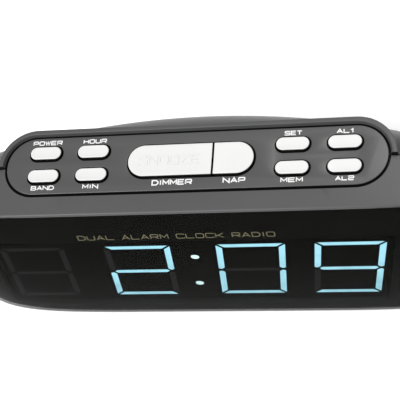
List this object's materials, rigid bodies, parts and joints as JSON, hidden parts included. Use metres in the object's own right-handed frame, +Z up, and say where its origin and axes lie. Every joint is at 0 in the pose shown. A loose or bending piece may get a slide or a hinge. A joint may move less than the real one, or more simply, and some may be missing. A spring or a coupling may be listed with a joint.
{
  "type": "clock radio",
  "caption": "Desk clock radio with a bowed dark housing, a smoked lens over large blue digits, and a stadium-shaped top panel of white keys.",
  "frame": {"origin": "centre of the bounding box at the table, under the rubber feet", "axes": "+X to the right seen from the front, +Y towards the back, +Z up; the lens faces -Y"},
  "size_m": [0.232, 0.0785, 0.0902],
  "materials": {
    "housing_plastic": "fine matte texture",
    "panel_plastic": "fine matte texture with plain white printed legends",
    "smoked_lens": "polished smoked acrylic",
    "key_plastic": "satin white",
    "circuit_board": "solder mask",
    "black_plastic": "moulded black",
    "reflector_plastic": "moulded black",
    "lit_diffuser": "glowing blue diffuser",
    "colon_diffuser": "glowing pale diffuser",
    "unlit_diffuser": "unlit grey diffuser",
    "dome_metal": "bright",
    "zinc_steel": "zinc plated",
    "black_steel": "black oxide",
    "tin_can": "tinned",
    "heat_sink_chip": "moulded epoxy",
    "core_steel": "stacked laminations",
    "copper_wire": "enamelled copper",
    "ferrite": "sintered ferrite",
    "cone_paper": "pressed paper",
    "cell_steel": "plain sleeved cell",
    "spring_steel": "nickel plated",
    "foot_rubber": "soft matte",
    "label_foil": "satin foil",
    "ribbon_plastic": "ribbed cable",
    "red_wire": "sleeve",
    "yellow_wire": "sleeve",
    "dark_wire": "sleeve"
  },
  "bodies": {
    "radio_body": {"front_housing": "housing_plastic", "rear_housing": "housing_plastic", "display_lens": "smoked_lens", "control_panel": "panel_plastic", "key_board": "circuit_board", "key_switches": "black_plastic", "switch_domes": "dome_metal", "key_board_screws": "zinc_steel", "display_board": "circuit_board", "display_reflector": "reflector_plastic", "lit_segments": "lit_diffuser", "unlit_segments": "unlit_diffuser", "colon_dots": "colon_diffuser", "display_screws": "zinc_steel", "control_chips": "black_plastic", "tuner_can": "tin_can", "clock_crystal": "tin_can", "power_board": "circuit_board", "power_capacitors": "black_plastic", "amplifier_chip": "heat_sink_chip", "power_board_screws": "zinc_steel", "transformer_core": "core_steel", "transformer_winding": "copper_wire", "transformer_strap": "zinc_steel", "transformer_screws": "zinc_steel", "ferrite_rod": "ferrite", "antenna_coil": "copper_wire", "speaker_frame": "zinc_steel", "speaker_magnet": "ferrite", "speaker_surround": "black_plastic", "speaker_screws": "zinc_steel", "battery_cells": "cell_steel", "battery_contacts": "spring_steel", "rubber_feet": "foot_rubber", "case_screws": "black_steel", "cord_grommet": "foot_rubber", "antenna_grommet": "foot_rubber", "rating_label": "label_foil", "display_ribbon": "ribbon_plastic", "key_ribbon": "ribbon_plastic", "speaker_leads": "red_wire", "transformer_leads": "yellow_wire", "battery_leads": "dark_wire"},
    "power_key": {"power_key": "key_plastic"},
    "hour_key": {"hour_key": "key_plastic"},
    "band_key": {"band_key": "key_plastic"},
    "minute_key": {"minute_key": "key_plastic"},
    "snooze_key": {"snooze_key": "key_plastic"},
    "nap_key": {"nap_key": "key_plastic"},
    "set_key": {"set_key": "key_plastic"},
    "memory_key": {"memory_key": "key_plastic"},
    "alarm1_key": {"alarm1_key": "key_plastic"},
    "alarm2_key": {"alarm2_key": "key_plastic"},
    "battery_door": {"battery_door": "housing_plastic"},
    "speaker_cone": {"speaker_cone": "cone_paper", "voice_coil": "copper_wire"}
  },
  "joints": [
    {"name": "power_key_press", "type": "slide", "parent": "radio_body", "child": "power_key", "axis": [0, 0, -1], "range_m": [0, 0.001], "stiffness_N_per_m": 400, "springref_m": -0.0005},
    {"name": "hour_key_press", "type": "slide", "parent": "radio_body", "child": "hour_key", "axis": [0, 0, -1], "range_m": [0, 0.001], "stiffness_N_per_m": 400, "springref_m": -0.0005},
    {"name": "band_key_press", "type": "slide", "parent": "radio_body", "child": "band_key", "axis": [0, 0, -1], "range_m": [0, 0.001], "stiffness_N_per_m": 400, "springref_m": -0.0005},
    {"name": "minute_key_press", "type": "slide", "parent": "radio_body", "child": "minute_key", "axis": [0, 0, -1], "range_m": [0, 0.001], "stiffness_N_per_m": 400, "springref_m": -0.0005},
    {"name": "snooze_key_press", "type": "slide", "parent": "radio_body", "child": "snooze_key", "axis": [0, 0, -1], "range_m": [0, 0.001], "stiffness_N_per_m": 400, "springref_m": -0.0005},
    {"name": "nap_key_press", "type": "slide", "parent": "radio_body", "child": "nap_key", "axis": [0, 0, -1], "range_m": [0, 0.001], "stiffness_N_per_m": 400, "springref_m": -0.0005},
    {"name": "set_key_press", "type": "slide", "parent": "radio_body", "child": "set_key", "axis": [0, 0, -1], "range_m": [0, 0.001], "stiffness_N_per_m": 400, "springref_m": -0.0005},
    {"name": "memory_key_press", "type": "slide", "parent": "radio_body", "child": "memory_key", "axis": [0, 0, -1], "range_m": [0, 0.001], "stiffness_N_per_m": 400, "springref_m": -0.0005},
    {"name": "alarm1_key_press", "type": "slide", "parent": "radio_body", "child": "alarm1_key", "axis": [0, 0, -1], "range_m": [0, 0.001], "stiffness_N_per_m": 400, "springref_m": -0.0005},
    {"name": "alarm2_key_press", "type": "slide", "parent": "radio_body", "child": "alarm2_key", "axis": [0, 0, -1], "range_m": [0, 0.001], "stiffness_N_per_m": 400, "springref_m": -0.0005},
    {"name": "battery_door_hinge", "type": "hinge", "parent": "radio_body", "child": "battery_door", "pos_m": [0.034, -0.0011, 0.00475], "axis": [-1, 0, 0], "range_deg": [0, 75]},
    {"name": "speaker_cone_travel", "type": "slide", "parent": "radio_body", "child": "speaker_cone", "axis": [0, 0.9659, 0.2588], "range_m": [-0.0005, 0.0005], "stiffness_N_per_m": 1200}
  ]
}
